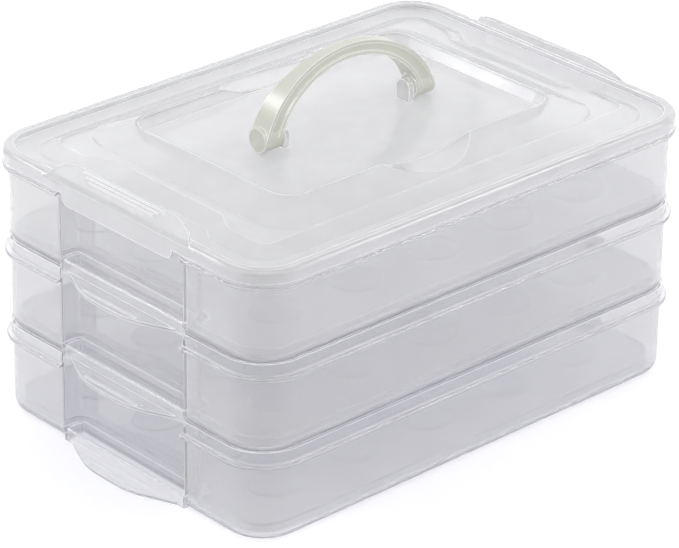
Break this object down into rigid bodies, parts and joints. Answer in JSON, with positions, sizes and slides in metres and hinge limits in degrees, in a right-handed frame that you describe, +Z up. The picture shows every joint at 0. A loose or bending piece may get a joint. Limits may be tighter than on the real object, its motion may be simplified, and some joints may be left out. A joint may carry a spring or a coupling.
{
  "type": "egg storage container",
  "caption": "Stackable see-through egg storage container: shallow boxes with grip windows and loose egg trays under a domed lid with a fold-down carry handle.",
  "frame": {"origin": "centre of the footprint, on the rest plane under the lowest box", "axes": "+X along the long side, towards one grip window; +Y across; +Z up"},
  "size_m": [0.358, 0.2398, 0.2196],
  "materials": {
    "milky_polypropylene": "gloss",
    "clear_polypropylene": "gloss",
    "cream_polypropylene": "gloss"
  },
  "bodies": {
    "bottom_box": {"bottom_box": "milky_polypropylene"},
    "middle_box": {"middle_box": "milky_polypropylene"},
    "top_box": {"top_box": "milky_polypropylene"},
    "lower_egg_tray": {"lower_egg_tray": "clear_polypropylene"},
    "middle_egg_tray": {"middle_egg_tray": "clear_polypropylene"},
    "upper_egg_tray": {"upper_egg_tray": "clear_polypropylene"},
    "lid": {"lid": "milky_polypropylene"},
    "carry_handle": {"carry_handle": "cream_polypropylene"}
  },
  "joints": [
    {"name": "middle_box_lift", "type": "slide", "parent": "bottom_box", "child": "middle_box", "axis": [0, 0, 1], "range_m": [0, 0.12]},
    {"name": "top_box_lift", "type": "slide", "parent": "middle_box", "child": "top_box", "axis": [0, 0, 1], "range_m": [0, 0.12]},
    {"name": "lid_lift", "type": "slide", "parent": "top_box", "child": "lid", "axis": [0, 0, 1], "range_m": [0, 0.12]},
    {"name": "lower_tray_lift", "type": "slide", "parent": "bottom_box", "child": "lower_egg_tray", "axis": [0, 0, 1], "range_m": [0, 0.06]},
    {"name": "middle_tray_lift", "type": "slide", "parent": "middle_box", "child": "middle_egg_tray", "axis": [0, 0, 1], "range_m": [0, 0.06]},
    {"name": "upper_tray_lift", "type": "slide", "parent": "top_box", "child": "upper_egg_tray", "axis": [0, 0, 1], "range_m": [0, 0.06]},
    {"name": "handle_fold", "type": "hinge", "parent": "lid", "child": "carry_handle", "pos_m": [0, 0, 0.1779], "axis": [1, 0, 0], "range_deg": [-90, 90]}
  ],
  "couplings": [
    {"joint": "lower_tray_lift", "follows": "middle_box_lift", "ratio": 0.5},
    {"joint": "middle_tray_lift", "follows": "top_box_lift", "ratio": 0.5},
    {"joint": "upper_tray_lift", "follows": "lid_lift", "ratio": 0.5}
  ]
}
